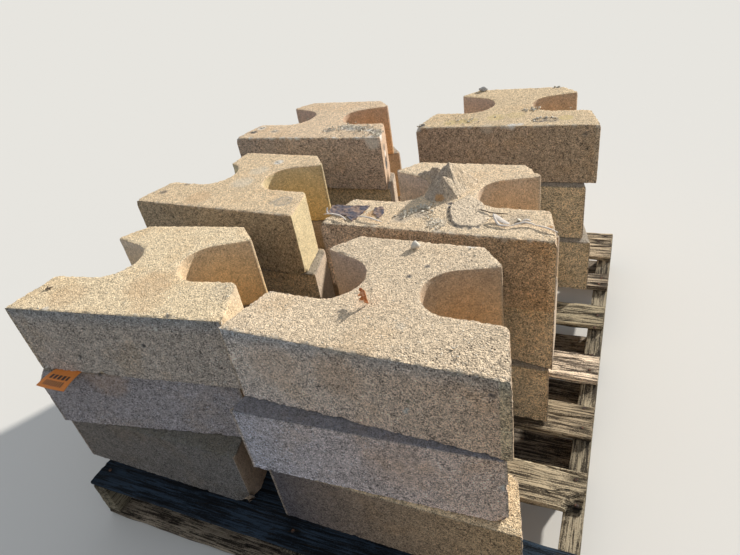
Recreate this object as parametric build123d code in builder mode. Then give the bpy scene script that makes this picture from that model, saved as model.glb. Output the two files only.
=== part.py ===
"""A timber pallet loaded with eighteen dog-bone concrete retaining-wall blocks, three layers high.

A lump of hardened mortar stands on one of them.

Millimetres. The origin is the centre of the pallet's underside, +X runs along the deck boards,
+Y along the stringers to the rear of the load, and +Z is up.
"""
from build123d import *
from math import cos, radians, sin, tan
import os

# Block, seen in plan from the middle of its split front face
block_width = 457.0
block_depth = 302.0
block_height = 152.0
flange_depth = 108.0
flange_taper = 14.4
waist_half = 52.0
waist_radius = 60.0
tail_slope = 18.9
tail_half = 163.0
tail_rear_half = 117.0
front_round = 3.0
flange_round = 13.0
tail_tip_round = 7.0
tail_rear_round = 5.0

# Pallet
pallet_width = 1016.0
pallet_length = 1219.0
board_thick = 16.0
lead_board = 140.0
inner_board = 89.0
last_inner_board = 67.0
stringer_width = 38.0
stringer_height = 89.0
notch_from_end = 152.0
notch_length = 229.0
notch_height = 38.0
notch_round = 19.0
foot_spacing = 180.0

# How far each inner deck board was nailed from its even place, from front to rear
deck_drift = (-32.0, -15.0, -6.0, 33.0, 37.0)

# Load: how the six stacks stand on the deck
load_centre_x = -48.0
load_centre_y = 23.0
column_gap = 47.0
front_row_gap = 55.0
rear_row_gap = 165.0

# How each block was set down: sideways, back and turned in degrees from its even place
scatter = {
    "front_left_top": (28.0, -2.0, 6.4),
    "front_left_middle": (-1.0, 0.0, 8.8),
    "front_left_bottom": (-27.0, -14.0, -0.8),
    "front_right_top": (-19.5, 2.5, -1.7),
    "front_right_middle": (-28.0, -15.0, 2.3),
    "front_right_bottom": (-4.0, -17.0, -0.7),
    "middle_left_top": (-34.0, 20.5, -3.7),
    "middle_left_middle": (-16.5, 17.0, -0.7),
    "middle_left_bottom": (-10.5, 11.0, -2.7),
    "middle_right_top": (-7.0, -20.0, -1.6),
    "middle_right_middle": (-5.5, 28.0, -10.7),
    "middle_right_bottom": (-14.5, -9.5, -1.7),
    "rear_left_top": (-1.0, -37.0, 0.4),
    "rear_left_middle": (3.0, -18.5, -1.7),
    "rear_left_bottom": (-3.5, -31.0, -0.7),
    "rear_right_top": (26.0, 37.0, 1.2),
    "rear_right_middle": (2.5, 26.5, -0.7),
    "rear_right_bottom": (23.5, 11.0, -0.7),
}

# The tail corner that has broken off one block: how much is gone, and the lean of the break
broken_corner = 58.0
break_turn = 2.0
break_lean = 3.0

# Lump of mortar: its foot and peak in plan, from the middle of its block's front face
lump_foot = (
    (-50.0, 134.0),
    (-31.0, 122.0),
    (-8.0, 127.0),
    (14.0, 141.0),
    (48.0, 146.0),
    (52.0, 180.0),
    (20.0, 214.0),
    (-28.0, 206.0),
    (-50.0, 170.0),
)
lump_peak = (-10.0, 178.0)
lump_height = 58.0
peak_share = 0.08

pallet_height = stringer_height + 2 * board_thick
front_y = -pallet_length / 2
load_length = 3 * block_depth + front_row_gap + rear_row_gap
column_pitch = block_width + column_gap
columns = {
    "left": load_centre_x - column_pitch / 2,
    "right": load_centre_x + column_pitch / 2,
}
rows = {"front": load_centre_y - load_length / 2}
rows["middle"] = rows["front"] + block_depth + front_row_gap
rows["rear"] = rows["middle"] + block_depth + rear_row_gap
layers = {"bottom": 0, "middle": 1, "top": 2}

os.makedirs("parts", exist_ok=True)


def finish_piece(piece, name):
    """Name a finished piece and write it out."""
    piece.label = name
    export_step(piece, f"parts/{name}.step")


def seat_of(row, column, layer):
    """The plane that a block stands on, at the middle of its front face and turned with it."""
    aside, back, turn = scatter[f"{row}_{column}_{layer}"]
    height = pallet_height + layers[layer] * block_height
    place = (columns[column] + aside, rows[row] + back, height)
    return Plane(origin=place, x_dir=(cos(radians(turn)), sin(radians(turn)), 0), z_dir=(0, 0, 1))


def block_plan(seat):
    """Plan of a block: a tapered front flange, a round-sided waist and a dovetail tail."""
    flange_rear_half = block_width / 2 - flange_depth * tan(radians(flange_taper))
    waist_centre = (waist_half + waist_radius, flange_depth + waist_radius)
    with BuildSketch(seat) as plan:
        with BuildLine():
            front = Line((0, 0), (block_width / 2, 0))
            side = Line(front @ 1, (flange_rear_half, flange_depth))
            flange_back = Line(side @ 1, (waist_centre[0], flange_depth))
            waist = CenterArc(waist_centre, waist_radius, 270, tail_slope - 180)
            tail_tip_y = (waist @ 1).Y + (tail_half - (waist @ 1).X) * tan(radians(tail_slope))
            tail_side = Line(waist @ 1, (tail_half, tail_tip_y))
            Polyline(tail_side @ 1, (tail_rear_half, block_depth), (0, block_depth), front @ 0)
        make_face()
        corners = (
            ((block_width / 2, 0), front_round),
            ((flange_rear_half, flange_depth), flange_round),
            ((tail_half, tail_tip_y), tail_tip_round),
            ((tail_rear_half, block_depth), tail_rear_round),
        )
        for corner, radius in corners:
            here = plan.sketch_local.vertices().sort_by_distance(corner)[0]
            fillet(here, radius)
        mirror(about=Plane.YZ)
    return plan.sketch, tail_tip_y


def concrete_block(row, column, layer, broken=False):
    """One block of the load, written as block_ROW_COLUMN_LAYER."""
    name = f"block_{row}_{column}_{layer}"
    seat = seat_of(row, column, layer)
    with BuildPart() as block:
        sketch, tail_tip_y = block_plan(seat)
        add(sketch)
        extrude(amount=block_height)
        if broken:
            with BuildSketch(seat.offset(block_height)):
                with Locations((-tail_half, tail_tip_y)):
                    Rectangle(2 * broken_corner, 4 * broken_corner, rotation=break_turn)
            extrude(amount=-block_height, taper=break_lean, mode=Mode.SUBTRACT)
    finish_piece(block.part, name)


def mortar_lump(row, column):
    """The lump of hardened mortar on the waist of a stack's top block, a low crooked pyramid."""
    seat = seat_of(row, column, "top").offset(block_height)
    peak_x, peak_y = lump_peak
    summit = [(peak_x + (x - peak_x) * peak_share, peak_y + (y - peak_y) * peak_share) for x, y in lump_foot]
    with BuildPart() as lump:
        for outline, height in ((lump_foot, 0), (summit, lump_height)):
            with BuildSketch(seat.offset(height)):
                with BuildLine():
                    Polyline(*outline, close=True)
                make_face()
        loft(ruled=True)
    finish_piece(lump.part, "mortar_lump")


def stringer(name, centre_x):
    """One notched runner of the pallet, its fork notches open below."""
    with BuildPart() as runner:
        with BuildSketch(Plane.YZ.offset(centre_x - stringer_width / 2)):
            with Locations((0, board_thick)):
                Rectangle(pallet_length, stringer_height, align=(Align.CENTER, Align.MIN))
            notch_middle = pallet_length / 2 - notch_from_end - notch_length / 2
            with Locations((-notch_middle, board_thick), (notch_middle, board_thick)):
                Rectangle(notch_length, 2 * notch_height, mode=Mode.SUBTRACT)
        extrude(amount=stringer_width)
        roofs = runner.faces().filter_by(Axis.Z).sort_by(Axis.Z)[-3:-1]
        fillet(roofs.edges().filter_by(Axis.X), notch_round)
    finish_piece(runner.part, name)


def board(name, centre_y, width, bottom_z):
    """One board across the stringers."""
    with BuildPart() as plank:
        with BuildSketch(Plane.XY.offset(bottom_z)):
            with Locations((0, centre_y)):
                Rectangle(pallet_width, width)
        extrude(amount=board_thick)
    finish_piece(plank.part, name)


# Pallet: three stringers, seven deck boards above and five boards below
outer_stringer = (pallet_width - stringer_width) / 2
for name, centre_x in (("left", -outer_stringer), ("centre", 0), ("right", outer_stringer)):
    stringer(f"stringer_{name}", centre_x)

lead_centre = (pallet_length - lead_board) / 2
deck_bottom = board_thick + stringer_height
board("deck_board_front", -lead_centre, lead_board, deck_bottom)
board("deck_board_rear", lead_centre, lead_board, deck_bottom)
inner_pitch = (pallet_length - 2 * lead_board) / (len(deck_drift) + 1)
for count, drift in enumerate(deck_drift, start=1):
    inner_centre = front_y + lead_board + count * inner_pitch + drift
    width = last_inner_board if count == len(deck_drift) else inner_board
    board(f"deck_board_{count}", inner_centre, width, deck_bottom)

board("bottom_board_front", -lead_centre, lead_board, 0)
board("bottom_board_rear", lead_centre, lead_board, 0)
for count, place in enumerate((-foot_spacing, 0, foot_spacing), start=1):
    board(f"bottom_board_{count}", place, inner_board, 0)

# Load: two columns of stacks in three rows, each three blocks high
for row in rows:
    for column in columns:
        for layer in layers:
            broken = (row, column, layer) == ("middle", "left", "top")
            concrete_block(row, column, layer, broken)
mortar_lump("middle", "right")
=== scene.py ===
"""Weathered looks for a timber pallet loaded with dog-bone concrete blocks.

Everything is in metres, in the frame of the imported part: the origin is the centre of the pallet's
underside, +X runs along the deck boards, +Y along the stringers to the rear, and +Z is up. Places on
one block are written in millimetres in that block's own frame: x along its front face from the
middle, y into the block and z above its foot.
"""

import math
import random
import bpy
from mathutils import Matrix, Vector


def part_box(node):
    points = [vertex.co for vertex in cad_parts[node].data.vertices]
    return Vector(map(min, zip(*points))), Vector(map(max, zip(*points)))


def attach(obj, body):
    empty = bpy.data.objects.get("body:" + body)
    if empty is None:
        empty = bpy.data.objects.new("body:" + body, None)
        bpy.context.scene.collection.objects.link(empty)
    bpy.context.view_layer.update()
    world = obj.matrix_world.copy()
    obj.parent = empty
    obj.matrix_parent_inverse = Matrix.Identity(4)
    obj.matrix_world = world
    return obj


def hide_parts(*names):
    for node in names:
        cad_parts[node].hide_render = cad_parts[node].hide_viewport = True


bl_info = {
    "name": "Weathered pallet of concrete blocks",
    "version": (1, 0, 0),
    "blender": (4, 5, 0),
    "location": "3D View > Sidebar > Block pallet",
    "description": "Dresses a loaded pallet with weathered concrete, split faces, old timber and litter",
    "category": "Object",
}

import bmesh
import bpy
from bpy.props import FloatProperty, FloatVectorProperty, PointerProperty
from mathutils import Euler, Matrix, Vector, noise
from mathutils.kdtree import KDTree

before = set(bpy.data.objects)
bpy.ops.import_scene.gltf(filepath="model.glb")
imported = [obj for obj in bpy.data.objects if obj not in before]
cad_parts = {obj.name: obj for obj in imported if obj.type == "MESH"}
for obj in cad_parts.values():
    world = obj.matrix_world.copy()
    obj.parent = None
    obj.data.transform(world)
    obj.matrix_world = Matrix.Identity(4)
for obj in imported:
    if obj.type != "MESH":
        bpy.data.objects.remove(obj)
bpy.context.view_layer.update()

UP = Vector((0, 0, 1))
BODY = "root"
MM = 0.001
BLOCK_WIDTH, BLOCK_HEIGHT = 457, 152
ROWS = ("front", "middle", "rear")
COLUMNS = ("left", "right")
LAYERS = ("bottom", "middle", "top")
DECK_BOARDS = ("front", "1", "2", "3", "4", "5", "rear")
BOTTOM_BOARDS = ("front", "1", "2", "3", "rear")


def length(name, description, default):
    """A length property in metres."""
    return FloatProperty(name=name, description=description, default=default, unit="LENGTH", precision=4)


def colour(name, description, default):
    """A colour property."""
    return FloatVectorProperty(
        name=name, description=description, default=default, subtype="COLOR", size=3, min=0, max=1
    )


def angle(name, description, degrees):
    """An angle property, its default in degrees."""
    return FloatProperty(name=name, description=description, default=math.radians(degrees), subtype="ANGLE")


class ConcreteLook(bpy.types.PropertyGroup):
    """Sizes and colours of the concrete."""

    sand: length("Sand", "Width of the finest grains that show", 0.0018)
    grit: length("Grit", "Width of the scattered light and dark grains", 0.0032)
    pit: length("Pit", "Width of the pits between the grains", 0.0048)
    arris_wear: length("Arris wear", "How much the corners of a block are worn off", 0.0019)
    chip_depth: length("Chip depth", "Depth of the chips along the corners", 0.006)
    split_relief: length("Split relief", "Depth of the hollows of a split face", 0.005)
    pitting: length("Pitting", "Depth of the fine roughness of a cast face", 0.0004)
    top: colour("Top", "Weathered top faces", (0.69, 0.55, 0.385))
    # The sides are warmer than the tops partly as painted warm bounce light in the hollows.
    side: colour("Side", "Cast sides and hollows", (0.6, 0.46, 0.33))
    split: colour("Split", "Split front faces", (0.55, 0.45, 0.35))
    mortar: colour("Mortar", "Lump and splash of hardened mortar", (0.66, 0.54, 0.4))
    pale_grain: colour("Pale grain", "Light sand grains", (0.9, 0.82, 0.68))
    dark_grain: colour("Dark grain", "Dark sand grains and pits", (0.14, 0.095, 0.06))
    ochre: colour("Ochre", "Iron-stained patches", (0.5, 0.33, 0.17))


class TimberLook(bpy.types.PropertyGroup):
    """Sizes and colours of the pallet."""

    edge_wear: length("Edge wear", "How much the corners of a board are worn off", 0.003)
    cupping: length("Cupping", "How far the edges of a board stand above its middle", 0.0012)
    crack_depth: length("Crack depth", "Depth of the long drying cracks", 0.006)
    crack_width: length("Crack width", "Width of the long drying cracks", 0.0055)
    pale: colour("Pale", "Sun-bleached fibres", (0.56, 0.46, 0.35))
    dark: colour("Dark", "Weathered fibres", (0.062, 0.048, 0.037))
    crack: colour("Crack", "Inside the cracks", (0.016, 0.013, 0.011))
    rust: colour("Rust", "Nail heads", (0.03, 0.02, 0.017))


class LitterLook(bpy.types.PropertyGroup):
    """Colours of what lies on the load."""

    flake: colour("Flake", "Dark flakes", (0.085, 0.085, 0.12))
    bark: colour("Bark", "Pale curled strips", (0.8, 0.72, 0.65))
    twig: colour("Twig", "Dry twigs", (0.1, 0.07, 0.05))
    leaf: colour("Leaf", "Dry leaf", (0.72, 0.24, 0.06))
    pebble: colour("Pebble", "Pebbles and crumbs", (0.74, 0.68, 0.57))
    tag: colour("Tag", "Plain orange tag", (0.78, 0.25, 0.04))
    tag_mark: colour("Tag mark", "Plain bars on the tag", (0.035, 0.015, 0.01))


class StageLook(bpy.types.PropertyGroup):
    """Light, floor and camera."""

    sun_azimuth: angle("Sun azimuth", "Direction of the key light in plan, from +X towards +Y", 60)
    sun_height: angle("Sun height", "Angle of the key light above the floor", 21)
    sun_softness: angle("Sun softness", "Angle that the key light fills, which softens its shadows", 2.0)
    sun_strength: FloatProperty(name="Sun strength", description="Power of the key light", default=5.2)
    sun_colour: colour("Sun colour", "Tint of the key light", (1.0, 0.95, 0.86))
    fill: FloatProperty(name="Fill", description="Strength of the light from all round", default=0.45)
    fill_colour: colour("Fill colour", "Tint of the light from all round", (0.9, 0.95, 1.0))
    floor: colour("Floor", "Pale floor as the camera sees it", (0.8, 0.79, 0.77))
    bounce: colour("Bounce", "Floor as it lights the load", (0.2, 0.2, 0.17))
    camera_place: FloatVectorProperty(
        name="Camera place",
        description="Where the camera stands",
        default=(0.50644, -1.03816, 1.08577),
        subtype="TRANSLATION",
        size=3,
    )
    camera_turn: FloatVectorProperty(
        name="Camera turn",
        description="How the camera is turned",
        default=(math.radians(56.0417), math.radians(8.6259), math.radians(22.1362)),
        subtype="EULER",
        size=3,
    )
    lens: FloatProperty(name="Lens", description="Focal length in millimetres", default=27.2103)


class Signal:
    """A node's output that takes Python's maths operators."""

    def __init__(self, finish, socket):
        self.finish = finish
        self.socket = socket

    def maths(self, operation, *values):
        """Put a Math node behind the given values."""
        return self.finish.node("ShaderNodeMath", {"operation": operation}, dict(enumerate(values)))

    def __add__(self, other):
        return self.maths("ADD", self, other)

    __radd__ = __add__

    def __sub__(self, other):
        return self.maths("SUBTRACT", self, other)

    def __rsub__(self, other):
        return self.maths("SUBTRACT", other, self)

    def __mul__(self, other):
        return self.maths("MULTIPLY", self, other)

    __rmul__ = __mul__

    def __gt__(self, other):
        return self.maths("GREATER_THAN", self, other)

    def __lt__(self, other):
        return self.maths("LESS_THAN", self, other)

    def __abs__(self):
        return self.maths("ABSOLUTE", self)

    def limited(self):
        """The signal held between 0 and 1."""
        held = {"operation": "ADD", "use_clamp": True}
        return self.finish.node("ShaderNodeMath", held, {0: self, 1: 0.0})

    def larger(self, other):
        """The larger of two signals."""
        return self.maths("MAXIMUM", self, other)

    def fraction(self):
        """What is left above the whole number below."""
        return self.maths("FRACT", self)

    def beside(self, output):
        """Another output of the same node."""
        return Signal(self.finish, self.socket.node.outputs[output])

    def step(self, low, high):
        """A smooth step from 0 at low to 1 at high."""
        held = {"interpolation_type": "SMOOTHSTEP"}
        values = {"Value": self, "From Min": low, "From Max": high, "To Min": 0.0, "To Max": 1.0}
        return self.finish.node("ShaderNodeMapRange", held, values)


class Finish:
    """Nodes in the making, in a material's tree or the world's."""

    def __init__(self, owner):
        self.owner = owner
        owner.use_nodes = True
        self.tree = owner.node_tree
        self.tree.nodes.clear()

    def node(self, kind, settings=None, values=None, output=0):
        """Add a node, make its settings, set or link its sockets and return one output."""
        made = self.tree.nodes.new(kind)
        for name, value in (settings or {}).items():
            setattr(made, name, value)
        for name, value in (values or {}).items():
            if isinstance(value, Signal):
                self.tree.links.new(value.socket, made.inputs[name])
            else:
                made.inputs[name].default_value = value
        return Signal(self, made.outputs[output]) if made.outputs else made

    def blend(self, factor, first, second):
        """Mix two colours."""
        settings = {"data_type": "RGBA", "clamp_factor": True}
        opaque = [tint if isinstance(tint, Signal) else (*tint, 1.0) for tint in (first, second)]
        return self.node("ShaderNodeMix", settings, {0: factor, 6: opaque[0], 7: opaque[1]}, output=2)

    def vector(self, operation, *values):
        """Put a Vector Math node behind the given values."""
        return self.node("ShaderNodeVectorMath", {"operation": operation}, dict(enumerate(values)))

    def scaled(self, tint, amount):
        """A colour made lighter or darker."""
        return self.node("ShaderNodeVectorMath", {"operation": "SCALE"}, {0: tint, "Scale": amount})

    def place(self):
        """The place on the piece, in metres."""
        return self.node("ShaderNodeTexCoord", output="Object")

    def painted(self, name, output="Fac"):
        """A value or colour that the mesh carries."""
        return self.node("ShaderNodeAttribute", {"attribute_name": name}, output=output)

    def noise(self, place, size, detail=2.0, roughness=0.5, output="Fac"):
        """Soft noise whose blots are about size across."""
        values = {"Vector": place, "Scale": 1 / size, "Detail": detail, "Roughness": roughness}
        return self.node("ShaderNodeTexNoise", None, values, output)

    def cells(self, place, size, output="Color"):
        """Cells about size across, as grains lie."""
        return self.node("ShaderNodeTexVoronoi", None, {"Vector": place, "Scale": 1 / size}, output)

    def channel(self, tint, name):
        """One channel of a colour."""
        return self.node("ShaderNodeSeparateColor", None, {"Color": tint}, name)

    def shaded(self, tint, roughness, height, depth, gloss=0.5):
        """End a material with its colour, roughness and relief."""
        bump = self.node("ShaderNodeBump", None, {"Height": height, "Strength": 1.0, "Distance": depth})
        values = {"Base Color": tint, "Roughness": roughness, "Normal": bump, "Specular IOR Level": gloss}
        shader = self.node("ShaderNodeBsdfPrincipled", None, values)
        self.node("ShaderNodeOutputMaterial", None, {"Surface": shader})
        return self.owner


def new_finish(name):
    """An empty material to build a finish in."""
    return Finish(bpy.data.materials.new(name))


def concrete_finish(name, look, tint, contrast, mottle, depth):
    """Weathered concrete: sand and grit of several tints in a cement that has worn back."""
    finish = new_finish(name)
    place = finish.place()
    wobble = finish.noise(place, look.sand * 2, 1.0, output="Color")
    bent = finish.vector("MULTIPLY_ADD", wobble, (look.sand,) * 3, place)
    sand = finish.channel(finish.cells(bent, look.sand), "Red")
    grit = finish.cells(bent, look.grit)
    grit_lot = finish.channel(grit, "Red")
    grit_round = finish.cells(bent, look.grit, "Distance")
    pit_lot = finish.channel(finish.cells(bent, look.pit), "Green")
    pit_round = finish.cells(bent, look.pit, "Distance")
    dust = finish.noise(place, 0.0015, 2.0, 0.6)
    grain = finish.noise(place, 0.0105, 6.0, 0.82)
    patch = finish.noise(place, 0.03, 3.0, 0.6)
    blot = finish.noise(place, 0.11, 3.0, 0.6)
    coarse = finish.painted("coarse")

    value = 1 + contrast * (0.55 * (sand - 0.5) + 1.8 * (dust - 0.5) + 1.2 * (grain - 0.5))
    value = value + contrast * 0.12 * (finish.channel(grit, "Blue") - 0.5)
    value = value + mottle * (patch - 0.5) + 0.3 * (blot - 0.5) + 0.12 * finish.painted("wear")
    tinted = finish.blend(blot.step(0.5, 0.68) * 0.3, tint, look.ochre)
    tinted = finish.scaled(tinted, value)
    light = (grit_lot > 0.965 - 0.035 * contrast) * (1 - grit_round.step(0.28, 0.48))
    dark = (grit_lot < 0.03 * contrast + 0.05 * coarse) * (1 - grit_round.step(0.2, 0.38))
    pit = (pit_lot > 0.93 - 0.42 * coarse) * (1 - pit_round.step(0.12, 0.34))
    tinted = finish.blend(light * min(1.0, 0.5 * contrast), tinted, look.pale_grain)
    tinted = finish.blend(dark * min(0.9, 0.52 * contrast), tinted, look.dark_grain)
    tinted = finish.blend(pit * (0.4 + 0.35 * coarse), tinted, look.dark_grain)
    # The mesh's tone holds painted shade and light as well as its own tints.
    tinted = finish.vector("MULTIPLY", tinted, finish.painted("tone", "Color"))
    # The stain layer holds stains and also painted shade and painted shadow.
    ragged = (patch * 0.8 + dust * 0.7 + sand * 0.3).step(0.55, 1.0)
    stained_and_shaded = (finish.painted("stain_and_shade", "Alpha") * (0.55 + 0.9 * ragged)).limited()
    tinted = finish.blend(stained_and_shaded, tinted, finish.painted("stain_and_shade", "Color"))

    height = 0.35 * sand + 0.7 * dust + 0.5 * (1 - grit_round) * (1 + coarse)
    height = height + light * 0.4 - pit * (1.3 + coarse)
    roughness = 0.87 + 0.12 * (dust - 0.5)
    return finish.shaded(tinted, roughness, height, depth)


def timber_finish(name, look, along):
    """Grey weathered softwood, its fibres along one axis."""
    finish = new_finish(name)
    place = finish.place()
    stretch = [1.0, 1.0, 1.0]
    stretch[along] = 0.05
    fibre_place = finish.vector("MULTIPLY", place, tuple(stretch))
    wander = finish.noise(fibre_place, 0.03, 2.0, output="Color")
    fibre_place = finish.vector("MULTIPLY_ADD", wander, (0.006, 0.006, 0.006), fibre_place)
    fibres = finish.noise(fibre_place, 0.0034, 4.0, 0.7)
    rings = finish.noise(fibre_place, 0.0085, 2.0, 0.55)
    streak = finish.noise(fibre_place, 0.0055, 1.0, 0.5)
    split = finish.noise(fibre_place, 0.016, 1.0, 0.5)
    blot = finish.noise(place, 0.07, 3.0, 0.6)
    grit = finish.noise(place, 0.0026, 3.0, 0.75)
    check = (1 - abs(streak - 0.5).step(0.004, 0.03)) * blot.step(0.4, 0.56)
    deep = (1 - abs(split - 0.46).step(0.002, 0.014)) * blot.step(0.62, 0.5)
    tone = 0.5 + 5.2 * (fibres - 0.5) + 3.6 * (rings - 0.5) + 2.0 * (blot - 0.5) + 3.0 * (grit - 0.5)
    tinted = finish.blend(tone.limited(), look.dark, look.pale)
    tinted = finish.vector("MULTIPLY", tinted, finish.painted("tone", "Color"))
    worn = (check * 0.7).larger(deep * 0.9).larger(finish.painted("crack"))
    tinted = finish.blend(worn, tinted, look.crack)
    height = fibres * 0.9 + rings * 0.6 + grit * 0.3 - check * 0.9 - deep * 1.4
    return finish.shaded(tinted, 0.9 + 0.1 * (fibres - 0.5), height, 0.0016, 0.15)


def rusty_finish(name, look):
    """Old iron, brown all over and pitted."""
    finish = new_finish(name)
    place = finish.place()
    scale = finish.noise(place, 0.0018, 4.0, 0.7)
    blot = finish.noise(place, 0.006, 2.0)
    tinted = finish.blend(blot.step(0.4, 0.65), look.rust, (0.16, 0.07, 0.035))
    tinted = finish.blend(scale.step(0.55, 0.75), tinted, (0.03, 0.022, 0.02))
    return finish.shaded(tinted, 0.7 + 0.25 * scale, scale, 0.0008)


def litter_finish(name, tint, size, spread, depth, second=None):
    """A dull natural skin of two tints, mottled in blots of one size."""
    finish = new_finish(name)
    place = finish.place()
    blot = finish.noise(place, size, 3.0, 0.65)
    speck = finish.noise(place, size * 0.22, 3.0, 0.7)
    value = 1 + spread * (2.2 * (blot - 0.5) + 1.6 * (speck - 0.5))
    second = second or tuple(0.8 * part for part in tint)
    tinted = finish.scaled(finish.blend(blot.step(0.38, 0.66), tint, second), value)
    return finish.shaded(tinted, 0.8 + 0.2 * (speck - 0.5), blot + 0.5 * speck, depth)


def tag_finish(name, look):
    """Orange card with a row of broad marks and a row of thin bars, read from the tag's own map."""
    finish = new_finish(name)
    card = finish.node("ShaderNodeUVMap", {"uv_map": "tag"})
    across = finish.node("ShaderNodeSeparateXYZ", None, {"Vector": card}, "X")
    outward = across.beside("Y")
    thin = ((across * 13).fraction() < 0.55) * (outward > 0.66) * (outward < 0.88)
    broad = ((across * 6.5).fraction() < 0.7) * (outward > 0.38) * (outward < 0.58)
    inside = (across > 0.16) * (across < 0.85)
    blot = finish.noise(finish.place(), 0.004, 3.0)
    marks = (thin.larger(broad) * inside) * (0.8 + 0.4 * blot)
    faded = finish.blend(blot.step(0.3, 0.8) * 0.25, look.tag, (0.75, 0.3, 0.1))
    tinted = finish.scaled(faded, 0.9 + 0.2 * blot)
    tinted = finish.blend(marks, tinted, look.tag_mark)
    return finish.shaded(tinted, 0.55 + 0.1 * blot, blot, 0.0002)


def open_edges(bm):
    """The edges that have a face on one side only."""
    return [edge for edge in bm.edges if edge.is_boundary]


def only_verts(parts):
    """The vertices among the parts of a mesh."""
    return [part for part in parts if isinstance(part, bmesh.types.BMVert)]


def cut_through(bm, place, facing, clear=False):
    """Cut a shape along a plane, and clear away what lies before it."""
    everything = bm.verts[:] + bm.edges[:] + bm.faces[:]
    bmesh.ops.bisect_plane(bm, geom=everything, plane_co=place, plane_no=facing, clear_outer=clear)


def linked(name, data):
    """A new object in the scene."""
    made = bpy.data.objects.new(name, data)
    bpy.context.scene.collection.objects.link(made)
    return made


def flat_grid(across, along, size=0.5):
    """A flat square grid that reaches size to each side."""
    bm = bmesh.new()
    bmesh.ops.create_grid(bm, x_segments=across, y_segments=along, size=size)
    return bm


def merged_copy(node):
    """A CAD node as a bmesh whose loose triangles are merged into whole faces."""
    bm = bmesh.new()
    bm.from_mesh(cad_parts[node].data)
    bmesh.ops.remove_doubles(bm, verts=bm.verts, dist=1e-5)
    bmesh.ops.dissolve_limit(bm, angle_limit=math.radians(1), verts=bm.verts, edges=bm.edges)
    return bm


def front_frame(bm):
    """A block's own frame: the middle of its front face's foot, X along that face, Y into the block."""
    upright = [face for face in bm.faces if abs(face.normal.z) < 0.1]
    front = max(upright, key=lambda face: face.calc_area())
    inward = -front.normal
    along = inward.cross(UP)
    corners = [vert.co for vert in front.verts]
    foot = sum(corners, Vector()) / len(corners)
    foot.z = min(corner.z for corner in corners)
    turn = Matrix((along, inward, UP)).transposed().to_4x4()
    return Matrix.Translation(foot) @ turn


def seat_of(block):
    """The frame of a block, named as ROW_COLUMN_LAYER."""
    whole = merged_copy(f"block_{block}")
    seat = front_frame(whole)
    whole.free()
    return seat


def arris_tree(bm, spacing=0.003):
    """A tree of evenly spaced points along the sharp edges of a shape."""
    points = []
    for edge in bm.edges:
        if edge.is_manifold and edge.calc_face_angle() > math.radians(25):
            start, end = edge.verts
            steps = max(1, round(edge.calc_length() / spacing))
            points += [start.co.lerp(end.co, step / steps) for step in range(steps + 1)]
    tree = KDTree(len(points))
    for index, point in enumerate(points):
        tree.insert(point, index)
    tree.balance()
    return tree


def regridded(bm, depth, scale):
    """The shape as an even grid of small quads that keeps its sharp edges."""
    mesh = bpy.data.meshes.new("grid")
    bm.to_mesh(mesh)
    shape = linked("grid", mesh)
    remesh = shape.modifiers.new("Grid", "REMESH")
    remesh.mode = "SHARP"
    remesh.octree_depth = depth
    remesh.scale = scale
    remesh.use_remove_disconnected = False
    remesh.use_smooth_shade = True
    bpy.context.view_layer.update()
    finished = shape.evaluated_get(bpy.context.evaluated_depsgraph_get())
    dense = bpy.data.meshes.new_from_object(finished)
    bpy.data.objects.remove(shape)
    bpy.data.meshes.remove(mesh)
    grid = bmesh.new()
    grid.from_mesh(dense)
    bpy.data.meshes.remove(dense)
    grid.normal_update()
    return grid


def new_piece(bm, name, materials, replaced=(), crease=42):
    """Turn a bmesh into a finished piece that rides on the pallet."""
    for face in bm.faces:
        face.smooth = True
    for edge in bm.edges:
        if edge.is_manifold and edge.calc_face_angle() > math.radians(crease):
            edge.smooth = False
    mesh = bpy.data.meshes.new(name)
    bm.to_mesh(mesh)
    bm.free()
    for material in materials:
        mesh.materials.append(material)
    piece = linked(name, mesh)
    if replaced:
        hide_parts(*replaced)
    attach(piece, BODY)
    return piece


def thicken(sheet, thickness=0.0006):
    """Give a sheet the thickness of card."""
    sheet.modifiers.new("Thickness", "SOLIDIFY").thickness = thickness


def fade(distance, reach):
    """1 at no distance, falling smoothly to 0 at the reach."""
    near = max(0.0, 1 - distance / reach)
    return near * near * (3 - 2 * near)


def ripple(place, size, seed):
    """Noise between -1 and 1 whose swells are about size across."""
    return noise.noise(place / size + seed)


def unit(value):
    """A value held between 0 and 1."""
    return max(0.0, min(1.0, value))


def mixed(first, second, factor):
    """The blend of two tints."""
    return tuple(a + (b - a) * factor for a, b in zip(first, second))


def times(first, second):
    """A tint tinted by another."""
    return tuple(a * b for a, b in zip(first, second))


# How far a face must point one way to count as a top or a front, and the slots of a block's materials
FACING = 0.7
SIDE, SPLIT = 1, 2

# How fine each block's grid is: the octree's depth, and the share of it that the block fills
GRID = {
    ("front", "top"): (8, 0.6),
    ("middle", "top"): (7, 0.88),
    ("rear", "top"): (7, 0.72),
    ("front", "middle"): (7, 0.7),
    ("front", "bottom"): (7, 0.6),
}
COARSE_GRID = (6, 0.99)
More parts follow.
